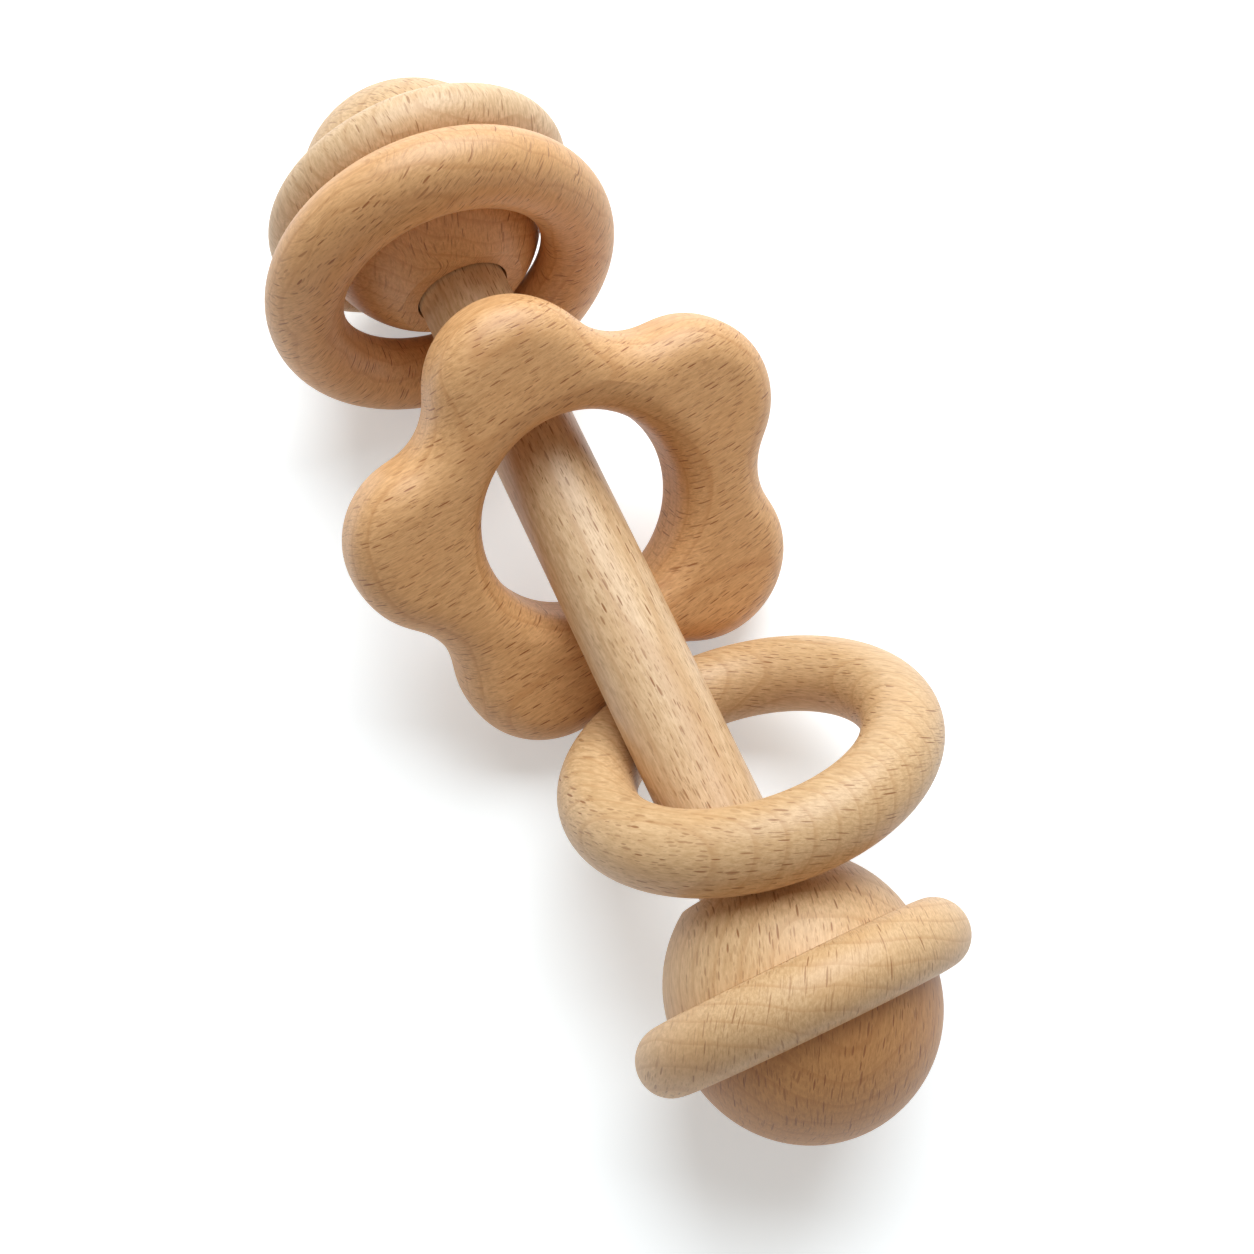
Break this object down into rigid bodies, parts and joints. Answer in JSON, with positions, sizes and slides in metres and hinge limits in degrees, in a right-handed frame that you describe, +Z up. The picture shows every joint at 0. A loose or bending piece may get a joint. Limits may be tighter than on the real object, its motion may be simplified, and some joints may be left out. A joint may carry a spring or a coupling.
{
  "type": "wooden baby rattle",
  "caption": "Beech grasping rattle: a straight dowel with a ball at each end, a ring trapped in each ball's groove, and loose rings and a flower ring threaded on the dowel.",
  "frame": {"origin": "on the floor, straight under the middle of the dowel's axis", "axes": "+X along the dowel from the far ball end to the near one, +Y across it, +Z up from the floor the rattle lies on"},
  "size_m": [0.1644, 0.0655, 0.0524],
  "materials": {
    "beech": "satin",
    "beech_pale": "satin",
    "beech_warm": "satin"
  },
  "bodies": {
    "handle": {"handle_dowel": "beech_pale", "far_inner_ball": "beech", "far_outer_ball": "beech", "near_inner_ball": "beech", "near_outer_ball": "beech"},
    "far_captive": {"far_captive_ring": "beech_pale"},
    "near_captive": {"near_captive_ring": "beech_pale"},
    "far_ring": {"far_loose_ring": "beech"},
    "flower": {"flower_ring": "beech_warm"},
    "near_ring": {"near_loose_ring": "beech_pale"}
  },
  "joints": [
    {"name": "far_captive_spin", "type": "hinge", "parent": "handle", "child": "far_captive", "pos_m": [-0.0639, 0, 0.0235], "axis": [1, 0, 0], "continuous": true},
    {"name": "near_captive_spin", "type": "hinge", "parent": "handle", "child": "near_captive", "pos_m": [0.0639, 0, 0.0235], "axis": [1, 0, 0], "continuous": true},
    {"name": "far_ring_slide", "type": "slide", "parent": "handle", "child": "far_ring", "axis": [1, 0, 0], "range_m": [0, 0.006]},
    {"name": "flower_slide", "type": "slide", "parent": "handle", "child": "flower", "axis": [1, 0, 0], "range_m": [-0.0055, 0]},
    {"name": "near_ring_spin", "type": "hinge", "parent": "handle", "child": "near_ring", "pos_m": [0.03254, 0.00727, 0.02434], "axis": [-0.7557, 0.0352, 0.654], "continuous": true}
  ]
}
